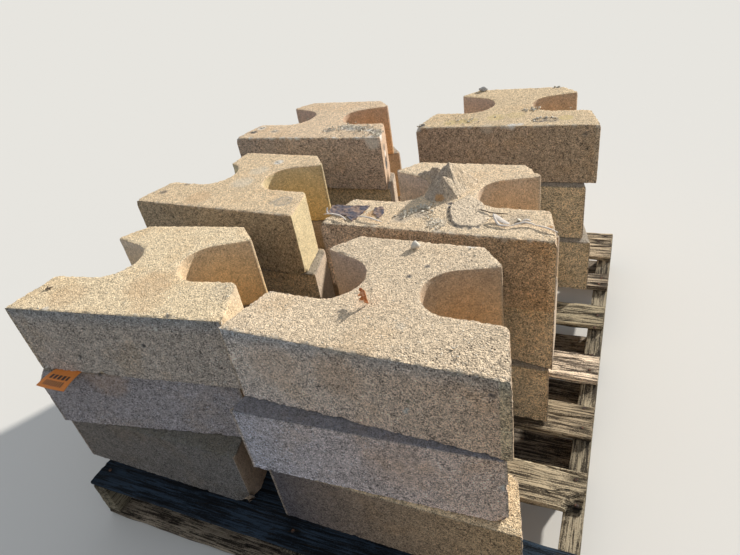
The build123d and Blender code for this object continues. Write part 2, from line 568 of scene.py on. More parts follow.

# Tints of each block's faces against the common ones: its front from left to right, its sides, its top.
# Besides each block's own tone they paint light and shade: the fronts are cooled as painted sky light and
# the lower ones darkened as painted shade, some sides are lightened and others darkened as painted light
# and shade in the hollows, and the dark, cool tops of the lower blocks are painted shade under the blocks
# above.
PLAIN = (1.0, 1.0, 1.0)
BLOCK_TINTS_AND_SHADE = {
    "front_right_top": ((1.34, 1.44, 1.7), (1.24, 1.1, 1.04), (0.87, 0.84, 0.8), (1.05, 1.05, 1.07)),
    "front_left_top": ((0.95, 1.02, 1.18), (0.95, 1.01, 1.16), (1.15, 1.18, 1.1), (1.19, 1.2, 1.15)),
    "front_left_middle": ((0.76, 0.85, 1.16), (0.76, 0.87, 1.21), (0.8, 0.85, 0.95), (0.5, 0.56, 0.66)),
    "front_left_bottom": ((0.4, 0.43, 0.5), (0.33, 0.38, 0.48), (0.7, 0.7, 0.75), (0.3, 0.36, 0.45)),
    "front_right_middle": ((0.97, 1.17, 1.74), (1.41, 1.32, 1.42), (0.9, 0.9, 0.95), (0.35, 0.43, 0.68)),
    "front_right_bottom": ((0.2, 0.23, 0.35), (1.05, 0.87, 0.63), (0.8, 0.8, 0.85), (1.1, 1.08, 1.0)),
    "middle_left_top": ((0.88, 0.84, 0.74), (0.76, 0.72, 0.6), (1.1, 1.18, 1.0), (1.08, 1.04, 0.97)),
    "middle_right_top": ((1.16, 1.1, 1.06), (0.92, 0.76, 0.55), (1.06, 1.07, 1.08), (1.12, 1.11, 1.1)),
    "rear_right_top": ((0.78, 0.7, 0.67), (0.82, 0.76, 0.67), (1.0, 0.95, 0.9), (0.99, 0.95, 0.86)),
    "rear_left_top": ((0.95, 0.9, 0.93), (0.95, 0.9, 0.93), (1.0, 0.92, 0.88), (1.05, 1.01, 1.0)),
}
# The other lower blocks in the same order; their dark, cool top is painted shade under the blocks above.
LOWER_TINTS_AND_SHADE = ((1.22, 1.18, 1.0), (1.22, 1.18, 1.0), (0.92, 0.95, 1.0), (0.5, 0.55, 0.64))

# The dark, cool band under the front corner of two tops: its depth in metres and its tint
BANDED = ("front_left_top", "front_right_top")
BAND_DEPTH = 0.042
BAND_TINT = (0.66, 0.8, 0.98)

# Where the front face ends, the hollows lie and the back begins, in metres into the block
FRONT_DEPTH = 0.02
HOLLOW = (0.105, 0.29)
BACK = 0.2

# Painted light in the hollows: warm bounce light from foot to top and cool sky light in the left ones;
# then the tint of the backs
PAINTED_BOUNCE_LOW = (1.2, 1.06, 0.8)
PAINTED_BOUNCE_HIGH = (0.86, 0.86, 0.88)
PAINTED_SKY_LEFT = (1.1, 1.2, 1.45)
BACK_TINT = (0.98, 1.03, 1.12)

# The pale left end of one top: its middle and reach in metres, and how much lighter it is
PALE_END = ("front_right_top", Vector((-160, 50, BLOCK_HEIGHT)) * MM, 0.13, 0.13)

# Tints of the stains, and of the painted shade and shadow among them
PALE = (0.72, 0.66, 0.56)
WHITE = (0.82, 0.8, 0.76)
GREY = (0.3, 0.285, 0.27)
DARK = (0.085, 0.08, 0.08)
OCHRE = (0.6, 0.34, 0.15)
STRAW = (0.66, 0.52, 0.24)
GREEN = (0.11, 0.12, 0.075)

# Stains and painted shade: x, y and radius in millimetres, strength and tint, then the height where it
# isn't the top, and the clear inner share of a ring. The dark fills of some holes and a row of dark marks
# beside the mortar splash are painted shade and painted shadow.
STAINS_AND_SHADE = {
    "front_right_top": (
        (20, 193, 5, 0.8, DARK), (40, 227, 5, 0.7, DARK), (52, 71, 10, 0.25, PALE),
        (73, 0, 5, 0.6, WHITE, 52), (77, 0, 4, 0.5, WHITE, 58), (80, 0, 5, 0.6, GREEN, 75),
        # The dark mark at (199, 117) on the front fills a hole with painted shade.
        (199, 0, 5, 0.7, DARK, 117), (-140, 0, 60, 0.12, OCHRE, 90), (-30, 0, 50, 0.16, OCHRE, 95),
        (95, 302, 12, 0.5, WHITE),
    ),
    "front_left_top": (
        # The dark marks at (-118, 40) and (48, 83) on the front fill two holes with painted shade.
        (-118, 0, 6, 1.0, DARK, 40), (48, 0, 5, 1.0, DARK, 83), (92, 0, 4.5, 1.0, WHITE, 125),
        (33, 88, 55, 0.26, OCHRE), (60, 40, 40, 0.16, OCHRE), (-120, 45, 45, 0.18, OCHRE),
        (190, 83, 34, 0.14, GREY), (121, 8, 4.5, 0.7, GREY), (-135, 6, 9, 0.4, WHITE),
    ),
    "middle_left_top": (
        (171, 58, 25, 0.75, GREY, 152, 0.66), (150, 52, 13, 0.35, GREY), (30, 251, 16, 0.55, WHITE),
        (5, 130, 34, 0.35, PALE), (6, 200, 30, 0.35, PALE), (-181, 52, 11, 0.6, DARK),
        (-146, 101, 10, 0.5, DARK), (-60, 40, 40, 0.2, OCHRE),
    ),
    "middle_right_top": (
        (-159, 52, 12, 0.8, OCHRE), (-205, 51, 14, 0.8, OCHRE), (-130, 50, 17, 0.6, OCHRE),
        (-66, 44, 20, 0.4, GREY), (-40, 70, 26, 0.35, GREY), (5, 35, 22, 0.4, PALE),
        (70, 80, 30, 0.3, PALE), (150, 70, 24, 0.25, DARK), (208, 47, 7, 0.9, OCHRE),
        # These dark marks, from (10, 112) to (86, 31), are a painted shadow along the left and front edge
        # of the splash.
        (10, 112, 7, 0.7, DARK), (13, 98, 7, 0.7, DARK), (18, 82, 7, 0.7, DARK), (24, 66, 7, 0.7, DARK),
        (32, 48, 7, 0.7, DARK), (44, 32, 7, 0.7, DARK), (58, 25, 6, 0.7, DARK), (72, 24, 6, 0.7, DARK),
        (86, 31, 6, 0.7, DARK),
    ),
    "rear_right_top": (
        (84, 41, 20, 0.9, DARK, 152, 0.55), (112, 41, 19, 0.85, DARK, 152, 0.6),
        (97, 40, 12, 0.4, GREY), (146, 53, 22, 0.6, STRAW, 152, 0.3), (22, 6, 13, 0.7, WHITE),
        (40, 12, 11, 0.5, WHITE), (8, 0, 7, 0.4, WHITE, 149), (-141, 34, 24, 0.45, STRAW),
        (-106, 42, 26, 0.5, STRAW), (-98, 47, 12, 0.4, GREY), (-85, 53, 17, 0.4, STRAW),
        (-28, 66, 30, 0.4, STRAW), (20, 80, 30, 0.3, STRAW), (-216, 17, 13, 0.85, DARK),
        (-224, 4, 12, 0.9, WHITE, 148), (195, 0, 7, 0.5, DARK, 128), (102, 300, 10, 0.8, GREY),
        (-40, 0, 20, 0.3, PALE, 148),
    ),
    "rear_left_top": (
        (52, 57, 18, 0.5, GREY), (93, 79, 20, 0.6, WHITE), (120, 74, 24, 0.6, WHITE),
        (149, 69, 20, 0.5, GREY), (175, 58, 14, 0.6, WHITE), (197, 46, 20, 0.6, GREY),
        (225, 24, 20, 0.7, WHITE), (205, 0, 26, 0.5, WHITE, 140), (-192, 47, 14, 0.7, DARK),
        (-183, 79, 16, 0.5, WHITE), (-123, 54, 14, 0.5, GREY), (-62, 149, 12, 0.5, GREY),
        # The last three marks darken and lighten the right side round a gouge.
        (215, 50, 22, 0.9, DARK, 60), (214, 52, 12, 0.8, WHITE, 85), (215, 46, 12, 0.8, DARK, 105),
    ),
    "front_left_middle": (
        # The dark mark at (-68, 150) fills a chip in the top corner with painted shade.
        (-60, 0, 60, 0.2, OCHRE, 138), (-68, 0, 8, 0.8, DARK, 150),
    ),
    "front_right_middle": (
        (221, 0, 7, 0.9, WHITE, 88), (60, 0, 70, 0.12, OCHRE, 90),
    ),
}

# Pale chipped rims along a front top corner: tint, strength and how many marks
RIMS = {
    "rear_left_top": (WHITE, 0.8, 60),
    "rear_right_top": (PALE, 0.7, 40),
    "middle_right_top": (PALE, 0.5, 34),
    "front_right_top": (PALE, 0.5, 40),
    "front_left_top": (PALE, 0.4, 30),
    "middle_left_top": (PALE, 0.4, 26),
}

# Lost corners and holes: x, y, z, radius and depth in millimetres
GOUGES = {
    "front_right_top": ((199, 0, 117, 9, 3.5), (-40, 0, 0, 14, 4), (222, 0, 150, 14, 3)),
    "front_left_top": (
        (-118, 0, 40, 8, 6), (48, 0, 83, 6, 3), (121, 4, 152, 9, 4), (226, 2, 150, 16, 6),
    ),
    "front_left_bottom": ((228, 0, 0, 46, 16),),
    "front_left_middle": ((-68, 0, 152, 9, 5), (226, 0, 152, 16, 6)),
    "front_right_middle": ((226, 0, 88, 11, 6), (228, 0, 0, 20, 9)),
    "middle_left_top": ((228, 0, 0, 18, 9), (-228, 0, 152, 14, 4), (-163, 232, 100, 60, 5)),
    "middle_right_top": ((224, 0, 152, 14, 7), (-226, 0, 152, 12, 4)),
    "rear_right_top": ((-225, 2, 152, 14, 6), (220, 2, 152, 12, 3)),
    "rear_left_top": (
        (-228, 0, 152, 16, 5), (60, 0, 152, 14, 3), (110, 0, 152, 14, 3), (212, 50, 60, 20, 4),
    ),
}

# Corners broken clean off: a place on the break in millimetres, and which way the break faces
BREAKS = {"front_left_middle": ((-198, 0, 152), (-0.74, -0.33, 0.59))}

# Coarse, pitted areas where the fines have washed out: x, y, z and radius in millimetres
COARSE = {
    "front_right_top": ((205, 20, 152, 75), (150, 18, 152, 55), (185, 50, 152, 55), (80, 6, 152, 40)),
    "front_left_top": ((215, 60, 152, 45),),
    "front_right_bottom": ((190, 20, 152, 120), (228, 60, 152, 90)),
    "front_right_middle": ((190, 20, 152, 60),),
    "middle_right_top": ((0, 60, 152, 70), (-190, 20, 152, 45), (60, 100, 152, 50)),
    "rear_left_top": ((120, 60, 152, 90),),
    "rear_right_top": ((-120, 80, 152, 70),),
}

# Smooth cast margins at the right end of a split front: where they start, and their tint
MARGINS = {
    "front_right_top": (209, (0.95, 1.02, 0.92)),
    "middle_right_top": (214, (1.25, 1.3, 1.35)),
    "rear_right_top": (215, (1.05, 1.1, 1.15)),
}
NO_MARGIN = (999, PLAIN)

# Swells of a split face: the share and the width of each
SPLIT_SWELLS = ((0.45, 0.075), (0.3, 0.025), (0.25, 0.008))


def in_reach(tree, marks, verts):
    """Each mark with each grid point in its reach and how near that is, from 0 to 1."""
    for mark in marks:
        centre = Vector(mark[:3]) * MM
        radius = mark[3] * MM
        for _, index, distance in tree.find_range(centre, radius):
            yield mark, verts[index], distance / radius


def stain_and_shade_mark(x, y, radius, strength, tint, height=BLOCK_HEIGHT, clear=0):
    """A mark of the stains and painted shade, with its place and radius first."""
    return (x, y, height, radius, clear, strength, tint)


def stain_and_shade_marks(block):
    """The stains and painted shade of a block, then the small pale stains scattered along its front top
    corner.
    """
    for mark in STAINS_AND_SHADE.get(block, ()):
        yield stain_and_shade_mark(*mark)
    tint, strength, count = RIMS.get(block, (PALE, 0.0, 0))
    dice = random.Random(block)
    for _ in range(count):
        x, y = dice.uniform(-226, 226), max(0.0, dice.gauss(0, 3))
        height = BLOCK_HEIGHT - max(0.0, dice.gauss(0, 2.5))
        radius = dice.uniform(2.5, 7)
        yield stain_and_shade_mark(x, y, radius, strength * dice.uniform(0.4, 1.0), tint, height)


def tint_and_shade_at(block, place, normal):
    """The tint of a block at one point, with painted shade, painted bounce light and painted sky light in
    it.
    """
    left, right, side, top = BLOCK_TINTS_AND_SHADE.get(block, LOWER_TINTS_AND_SHADE)
    # A top takes the block's top tint; on the lower blocks it is dark and cool, painted shade under the
    # blocks above.
    if normal.z > FACING:
        owner, middle, reach, gain = PALE_END
        gain *= fade((place - middle).length, reach) if block == owner else 0.0
        return tuple(part * (1 + gain) for part in top)
    height = place.z / (BLOCK_HEIGHT * MM)
    if normal.y > -FACING or place.y > FRONT_DEPTH:
        # The hollows get painted warm bounce light, stronger low down, and painted cool sky light on the
        # left.
        if HOLLOW[0] < place.y < HOLLOW[1]:
            painted_bounce = times(side, mixed(PAINTED_BOUNCE_LOW, PAINTED_BOUNCE_HIGH, height))
            return times(painted_bounce, PAINTED_SKY_LEFT if place.x < 0 else PLAIN)
        return times(side, BACK_TINT) if place.y > BACK else side
    # A front mixes its left and right tints, cooled as painted sky light and on lower blocks darkened as
    # painted shade.
    tint = mixed(left, right, unit(0.5 + place.x / (BLOCK_WIDTH * MM)))
    band = 0.8 * fade(BLOCK_HEIGHT * MM - place.z, BAND_DEPTH) if block in BANDED else 0.0
    tint = times(tint, mixed(PLAIN, BAND_TINT, band))
    start, margin = MARGINS.get(block, NO_MARGIN)
    return times(tint, margin) if place.x > start * MM else tint


def weather_block(block, look, grid, seed):
    """Grid a block, split its front face, wear its corners, stain it and paint shade and light into its
    tint, in its own frame.
    """
    whole = merged_copy(f"block_{block}")
    seat = front_frame(whole)
    whole.transform(seat.inverted())
    if block in BREAKS:
        place, facing = BREAKS[block]
        cut_through(whole, Vector(place) * MM, facing, clear=True)
        bmesh.ops.holes_fill(whole, edges=open_edges(whole))
    arrises = arris_tree(whole)
    bm = regridded(whole, *grid)
    whole.free()
    for face in bm.faces:
        if face.normal.y < -0.9 and face.calc_center_median().y < 0.003:
            face.material_index = SPLIT
        elif abs(face.normal.z) < FACING:
            face.material_index = SIDE
    wear = bm.verts.layers.float.new("wear")
    coarse = bm.verts.layers.float.new("coarse")
    tone = bm.verts.layers.float_color.new("tone")
    stain_and_shade = bm.verts.layers.float_color.new("stain_and_shade")
    verts = list(bm.verts)
    tree = KDTree(len(verts))
    for index, vert in enumerate(verts):
        tree.insert(vert.co, index)
        # The tint at each point holds painted shade and painted bounce and sky light.
        vert[tone] = (*tint_and_shade_at(block, vert.co, vert.normal), 1.0)
        vert[stain_and_shade] = (0.5, 0.5, 0.5, 0.0)
    tree.balance()

    for _, vert, near in in_reach(tree, COARSE.get(block, ()), verts):
        ragged = 0.25 * ripple(vert.co, 0.014, seed)
        vert[coarse] = max(vert[coarse], unit(1.6 * (1 - near) + ragged))
    # The marks hold stains, and painted shade in some holes and a painted shadow beside the mortar splash.
    for mark, vert, near in in_reach(tree, stain_and_shade_marks(block), verts):
        inner, strength, tint = mark[4:]
        edge = near + 0.22 * ripple(vert.co, 0.007, seed)
        cover = strength * unit((1 - edge) * 2.5)
        if inner and edge < inner:
            cover *= 0.3
        if cover > vert[stain_and_shade][3]:
            vert[stain_and_shade] = (*tint, cover)

    moves = {}
    start = MARGINS.get(block, NO_MARGIN)[0] * MM
    for vert in verts:
        place = vert.co
        reach = arrises.find(place)[2]
        chip = max(0.0, ripple(place, 0.03, seed) + 0.4 * ripple(place, 0.009, seed) - 0.42)
        worn = look.arris_wear * (0.8 + 0.7 * ripple(place, 0.009, seed)) * fade(reach, 0.006)
        worn += 0.0014 * fade(reach, 0.0045) * ripple(place, 0.0047, seed)
        worn += look.chip_depth * chip * fade(reach, 0.014) * 1.5
        worn += look.pitting * (1 + ripple(place, 0.006, seed) + 0.7 * ripple(place, 0.0031, seed))
        worn += vert[coarse] * 0.0011 * (1 + 1.3 * ripple(place, 0.0052, seed))
        move = vert.normal * -worn
        if place.y < 0.0005 and place.x < start:
            hollow = sum(share * (1 + ripple(place, size, seed)) / 2 for share, size in SPLIT_SWELLS)
            inner = 1 - 0.7 * fade(reach, 0.012)
            move.y += look.split_relief * hollow * inner * min(1.0, (start - place.x) / 0.004)
        moves[vert] = move
        vert[wear] = min(1.0, chip * 2.5 * fade(reach, 0.016))
    for mark, vert, near in in_reach(tree, GOUGES.get(block, ()), verts):
        depth = mark[4] * MM * fade(near, 1.0) ** 0.7 * (1 + 0.45 * ripple(vert.co, 0.007, seed))
        moves[vert] -= vert.normal * depth
        vert[wear] = min(1.0, vert[wear] + 0.5 * (1 - near))
    for vert, move in moves.items():
        vert.co += move
    bm.transform(seat)
    return bm


class BLOCKPALLET_OT_blocks(bpy.types.Operator):
    """Weather the eighteen concrete blocks"""

    bl_idname = "blockpallet.blocks"
    bl_label = "Blocks"

    def execute(self, context):
        look = context.scene.concrete_look
        top = concrete_finish("weathered_top", look, look.top, 1.45, 0.24, 0.0016)
        side = concrete_finish("cast_side", look, look.side, 0.95, 0.4, 0.0006)
        split = concrete_finish("split_face", look, look.split, 2.1, 0.6, 0.0012)
        stacks = [(row, column, layer) for row in ROWS for column in COLUMNS for layer in LAYERS]
        for count, (row, column, layer) in enumerate(stacks):
            block = f"{row}_{column}_{layer}"
            grid = GRID.get((row, layer), COARSE_GRID)
            bm = weather_block(block, look, grid, Vector((count * 13.7, count * 5.3, 2.0)))
            new_piece(bm, f"weathered_{block}", (top, side, split), (f"block_{block}",))
        return {"FINISHED"}


# Peaks of the lump: place and height, then the corners of the foot, in millimetres on the block
PEAKS = (
    (
        (-10, 178, 58),
        ((18, 134), (42, 215), (5, 236), (-45, 226), (-60, 180), (-52, 138), (-30, 118), (-5, 122)),
    ),
    ((-12, 142, 43), ((17, 134), (40, 200), (-10, 215), (-55, 170), (-50, 130), (-32, 116), (-8, 119))),
    ((-45, 205, 34), ((-104, 238), (-60, 254), (10, 228), (12, 190), (-20, 160), (-58, 172), (-94, 226))),
)

# Where the grid of the mortar lies on its block, how far below the block's top it is cut away and how
# far down its rim goes, in millimetres
MORTAR_MIDDLE = (-3, 140)
MORTAR_SIZE = (214, 238)
CUT_BELOW, RIM_BELOW = 1.5, 3

# The splash beside the lump: its middle and the corners of its outline
SPLASH = (
    (50, 80),
    ((13, 104), (18, 78), (33, 42), (48, 29), (72, 27), (88, 36), (99, 54), (93, 80), (70, 122), (36, 152)),
)


def share_out(spot, middle, outline):
    """How far out a spot is: 0 at the middle and 1 on the outline."""
    corners = [Vector(corner) for corner in outline]
    farthest = 0.0
    for start, end in zip(corners, corners[1:] + corners[:1]):
        across = Vector((end.y - start.y, start.x - end.x))
        farthest = max(farthest, (spot - middle).dot(across) / (start - middle).dot(across))
    return farthest


def mortar_height(spot, seed):
    """Height of the mortar over a spot on its block, in millimetres, below 0 where there is none."""
    place = Vector((spot.x, spot.y, 0)) * MM
    best = -9.0
    for (x, y, height), foot in PEAKS:
        best = max(best, height * (1 - share_out(spot, Vector((x, y)), foot)))
    body = unit(best / 12)
    crumbly = 1.7 if spot.x < -14 and spot.y > 150 else 0.8
    best += body * crumbly * (3.2 * ripple(place, 0.02, seed) + 2.4 * ripple(place, 0.009, seed))
    inside = 1 - share_out(spot, Vector(SPLASH[0]), SPLASH[1]) + 0.05 * ripple(place, 0.012, seed)
    best = max(best, min(3.4 - 0.028 * spot.x, 60 * inside))
    if best > -1.5:
        best += 1.1 * max(0.0, ripple(place, 0.0047, seed)) + 0.6 * ripple(place, 0.0026, seed)
    return best - 2.0 * max(0.0, 61.0 - (spot - Vector((-112, 168))).length)


class BLOCKPALLET_OT_mortar(bpy.types.Operator):
    """Harden the lump of mortar and the splash beside it"""

    bl_idname = "blockpallet.mortar"
    bl_label = "Mortar"

    def execute(self, context):
        look = context.scene.concrete_look
        finish = concrete_finish("hardened_mortar", look, look.mortar, 1.2, 0.3, 0.0013)
        seat = seat_of("middle_right_top")
        bm = flat_grid(*MORTAR_SIZE)
        seed = Vector((5.0, 1.0, 3.0))
        for vert in bm.verts:
            plan = zip(vert.co, MORTAR_SIZE, MORTAR_MIDDLE)
            spot = Vector([at * size + middle for at, size, middle in plan])
            vert.co = Vector((spot.x, spot.y, BLOCK_HEIGHT + mortar_height(spot, seed))) * MM
        sunk = [vert for vert in bm.verts if vert.co.z < (BLOCK_HEIGHT - CUT_BELOW) * MM]
        bmesh.ops.delete(bm, geom=sunk, context="VERTS")
        walls = bmesh.ops.extrude_edge_only(bm, edges=open_edges(bm))["geom"]
        for vert in only_verts(walls):
            vert.co.z = (BLOCK_HEIGHT - RIM_BELOW) * MM
        bmesh.ops.holes_fill(bm, edges=open_edges(bm))
        bmesh.ops.recalc_face_normals(bm, faces=bm.faces)
        tone = bm.verts.layers.float_color.new("tone")
        stain_and_shade = bm.verts.layers.float_color.new("stain_and_shade")
        coarse = bm.verts.layers.float.new("coarse")
        bm.normal_update()
        rusty = Vector((-16, 121, BLOCK_HEIGHT + 5)) * MM
        for vert in bm.verts:
            vert[coarse] = 0.25
            # Faces turned to the front and left, away from the sun, are darkened and cooled: painted shade.
            painted_shade = unit(-0.8 * vert.normal.x - 1.3 * vert.normal.y)
            low = 0.16 * fade(max(0.0, vert.co.z - BLOCK_HEIGHT * MM), 0.014)
            vert[tone] = (*(1 + low - part * painted_shade for part in (0.36, 0.34, 0.27)), 1.0)
            near = (vert.co - rusty).length / 0.011 + 0.3 * ripple(vert.co, 0.006, seed)
            vert[stain_and_shade] = (*OCHRE, 0.8 * unit(2.5 * (1 - near)))
        bm.transform(seat)
        new_piece(bm, "hardened_lump", (finish,), ("mortar_lump",), 75)
        return {"FINISHED"}


def plate(outline, height, thick, wave, seed):
    """A thin uneven plate standing on a block at a height, its outline in the block's frame."""
    flat = bmesh.new()
    corners = [flat.verts.new((x * MM, y * MM, height * MM)) for x, y in outline]
    flat.faces.new(corners)
    raised = bmesh.ops.extrude_face_region(flat, geom=flat.faces[:])["geom"]
    bmesh.ops.translate(flat, vec=(0, 0, thick * MM), verts=only_verts(raised))
    bmesh.ops.recalc_face_normals(flat, faces=flat.faces)
    bm = regridded(flat, 6, 0.95)
    flat.free()
    for vert in bm.verts:
        place = vert.co.copy()
        level = Vector((place.x, place.y, 0))
        vert.co.x += 0.0022 * ripple(level, 0.009, seed)
        vert.co.y += 0.0022 * ripple(level, 0.008, seed + UP)
        if place.z > (height + thick * 0.5) * MM:
            vert.co.z += thick * MM * wave * (ripple(level, 0.011, seed) + ripple(level, 0.0045, seed))
    bm.normal_update()
    return bm


def is_along(edge, axis):
    """Whether an edge runs along an axis."""
    run = edge.verts[1].co - edge.verts[0].co
    return abs(run[axis]) > 0.99 * run.length


def gridded_box(low, high, cuts):
    """A box with its faces cut into a grid."""
    bm = bmesh.new()
    bmesh.ops.create_cube(bm, size=1.0)
    bmesh.ops.scale(bm, vec=high - low, verts=bm.verts)
    bmesh.ops.translate(bm, vec=(low + high) / 2, verts=bm.verts)
    for axis in range(3):
        if cuts[axis]:
            along = [edge for edge in bm.edges if is_along(edge, axis)]
            bmesh.ops.subdivide_edges(bm, edges=along, cuts=cuts[axis], use_grid_fill=True)
    return bm


# Long drying cracks in the deck, each from x, y to x, y in millimetres
CRACKS = {
    "1": ((393, -300, 507, -313), (481, -365, 511, -342), (150, -345, 330, -338), (-420, -360, -120, -352)),
    "2": ((380, -170, 508, -163), (-100, -150, 230, -157), (-500, -190, -380, -184)),
    "3": ((459, 37, 508, 36), (395, 12, 470, 16), (-300, 10, 120, 18)),
    "4": ((393, 184, 504, 197), (-470, 170, -180, 176)),
    "5": ((440, 332, 508, 333), (-60, 350, 260, 344)),
    "rear": ((420, 570, 510, 560), (-440, 520, 60, 528), (380, 520, 500, 526)),
    "front": ((-500, -560, -140, -548), (-460, -505, -300, -512), (200, -540, 508, -552)),
}

# Tints of the deck boards against the common timber
BOARD_TONES = {
    # The front board's dark blue is made darker and bluer still as painted shade and sky light.
    "front": (0.056, 0.112, 0.23),
    "1": (1.14, 1.16, 1.06),
    "2": (0.96, 0.95, 0.86),
    "3": (2.3, 2.3, 2.3),
    "4": (1.13, 1.16, 1.03),
    "5": (1.2, 1.2, 1.16),
    "rear": (1.38, 1.36, 1.24),
}

BOTTOM_TONE = (0.8, 0.8, 0.8)

# How many cuts a board gets along, across and through, and the rotten corner of one of them, in plan
DECK_CUTS = (150, 22, 2)
BOTTOM_CUTS = (60, 12, 1)
ROTTEN = ("deck_board_1", (0.504, -0.395))

# A nail's head: its width and how deep it sits
NAIL_WIDTH, NAIL_SUNK = 0.0085, 0.0015

# Nails near the right ends of the deck boards: x and y in millimetres
RIGHT_NAILS = {
    "front": ((489, -578), (484, -520)),
    "1": ((487, -322), (493, -377)),
    "2": ((486, -137), (486, -192)),
    "3": ((487, -16), (489, 36)),
    "4": ((486, 140), (491, 190)),
    "5": ((485, 331), (489, 362)),
    "rear": ((470, 559), (486, 592)),
}


def nails_of(board):
    """Where the nails of a deck board are, in metres."""
    low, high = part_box(f"deck_board_{board}")
    dice = random.Random(DECK_BOARDS.index(board))
    places = [Vector((x * MM, y * MM, high.z)) for x, y in RIGHT_NAILS[board]]
    for side in ("left", "centre"):
        left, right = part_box(f"stringer_{side}")
        for across in (0.24, 0.77):
            x = (left.x + right.x) / 2 + dice.uniform(-0.009, 0.009)
            y = low.y + (high.y - low.y) * (across + dice.uniform(-0.07, 0.07))
            places.append(Vector((x, y, high.z)))
    return places


def weather_board(name, look, cuts, cracks, nails, tint, seed):
    """A board with worn edges, a slight cup, long cracks and dark stains round its nails."""
    low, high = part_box(name)
    bm = gridded_box(low, high, cuts)
    size = high - low
    middle = (low + high) / 2
    lines = []
    for crack in cracks:
        start = Vector((crack[0], crack[1], 0)) * MM
        run = Vector((crack[2], crack[3], 0)) * MM - start
        across = run.cross(UP).normalized()
        lines.append((start, run, across))
        for lip in (-0.5, 0.0, 0.5):
            cut_through(bm, start + across * look.crack_width * lip, across)
    crack_layer = bm.verts.layers.float.new("crack")
    tone = bm.verts.layers.float_color.new("tone")
    rotten = Vector((*ROTTEN[1], high.z))
    for vert in bm.verts:
        place = vert.co.copy()
        stretched = Vector((place.x * 0.12, place.y, place.z))
        edge_x, edge_y, edge_z = (min(at - least, most - at) for at, least, most in zip(place, low, high))
        shade = 1 + 0.25 * ripple(place, 0.08, seed)
        corner = fade(edge_y + edge_z, 0.007)
        roughness = 0.6 + 0.7 * ripple(stretched, 0.006, seed)
        vert.co.y += math.copysign(look.edge_wear * corner * roughness, middle.y - place.y)
        vert.co.z += math.copysign(look.edge_wear * corner * roughness, middle.z - place.z) * 0.6
        end_wear = fade(edge_x, 0.012) * (0.5 + 0.7 * ripple(place, 0.007, seed))
        vert.co.x += math.copysign(0.004 * max(0.0, end_wear), middle.x - place.x)
        if place.z > high.z - 0.0002:
            vert.co.z -= 0.0008 * (1 + ripple(stretched, 0.0045, seed))
            vert.co.z -= look.cupping * (1 - abs(2 * (place.y - middle.y) / size.y) ** 2)
            for start, run, across in lines:
                aside = (place - start).dot(across)
                share = (place - start).dot(run) / run.length_squared
                if abs(aside) < look.crack_width * 0.55 and 0 < share < 1:
                    deep = 1.0 if abs(aside) < look.crack_width * 0.1 else 0.25
                    open_here = deep * fade(abs(2 * share - 1), 1.0) ** 0.3
                    vert.co.z -= look.crack_depth * open_here * (deep > 0.5)
                    vert[crack_layer] = max(vert[crack_layer], open_here)
                if abs(aside) < look.crack_width * 0.6:
                    vert.co += across * 0.0016 * ripple(stretched, 0.004, seed)
            for nail in nails:
                gap = place - nail
                shade *= 1 - 0.9 * fade(math.hypot(gap.x * 0.45, gap.y), 0.013)
        decay = fade((place - rotten).length, 0.045) * (1 + 0.6 * ripple(place, 0.008, seed))
        if name == ROTTEN[0] and decay > 0:
            vert.co.z -= min(0.014, 0.022 * decay) * (place.z - low.z) / size.z
            vert.co.x -= 0.008 * decay
            shade *= 1 - 0.8 * min(1.0, decay * 1.6)
        shade *= 1 - 0.25 * fade(edge_x, 0.02)
        vert[tone] = (*(shade * part for part in tint), 1.0)
    return bm


class BLOCKPALLET_OT_boards(bpy.types.Operator):
    """Weather the deck boards and the boards below"""

    bl_idname = "blockpallet.boards"
    bl_label = "Boards"

    def execute(self, context):
        look = context.scene.timber_look
        timber = timber_finish("weathered_board", look, 0)
        for count, board in enumerate(DECK_BOARDS):
            name = f"deck_board_{board}"
            seed = Vector((count * 17.3, 0, 0))
            nails = nails_of(board)
            bm = weather_board(name, look, DECK_CUTS, CRACKS[board], nails, BOARD_TONES[board], seed)
            new_piece(bm, f"weathered_{name}", (timber,), (name,))
        for count, board in enumerate(BOTTOM_BOARDS):
            name = f"bottom_board_{board}"
            seed = Vector((count * 7.1, 9, 0))
            bm = weather_board(name, look, BOTTOM_CUTS, (), (), BOTTOM_TONE, seed)
            new_piece(bm, f"weathered_{name}", (timber,), (name,))
        return {"FINISHED"}


class BLOCKPALLET_OT_stringers(bpy.types.Operator):
    """Weather the three notched stringers"""

    bl_idname = "blockpallet.stringers"
    bl_label = "Stringers"

    def execute(self, context):
        look = context.scene.timber_look
        timber = timber_finish("weathered_stringer", look, 1)
        for count, side in enumerate(("left", "centre", "right")):
            name = f"stringer_{side}"
            whole = merged_copy(name)
            arrises = arris_tree(whole)
            bm = regridded(whole, 8, 0.99)
            whole.free()
            tone = bm.verts.layers.float_color.new("tone")
            seed = Vector((count * 7.7, 3, 1))
            for vert in bm.verts:
                stretched = Vector((vert.co.x, vert.co.y * 0.12, vert.co.z))
                shade = 0.68 + 0.4 * ripple(vert.co, 0.07, seed)
                vert[tone] = (shade, shade * 1.04, shade * 0.98, 1.0)
                worn = look.edge_wear * 0.8 * fade(arrises.find(vert.co)[2], 0.007)
                worn *= 0.6 + 0.7 * ripple(stretched, 0.006, seed)
                vert.co -= vert.normal * (worn + 0.0004 * (1 + ripple(stretched, 0.004, seed)))
            new_piece(bm, f"weathered_{name}", (timber,), (name,))
        return {"FINISHED"}


def nail_head(bm, place, width, tilt):
    """Add a flattened round nail head to a mesh."""
    head = bmesh.ops.create_cone(
        bm, cap_ends=True, segments=12, radius1=width / 2, radius2=width * 0.36, depth=width * 0.3
    )
    turn = Euler((tilt, tilt * 0.7, 0)).to_matrix().to_4x4()
    bmesh.ops.transform(bm, matrix=Matrix.Translation(place) @ turn, verts=head["verts"])


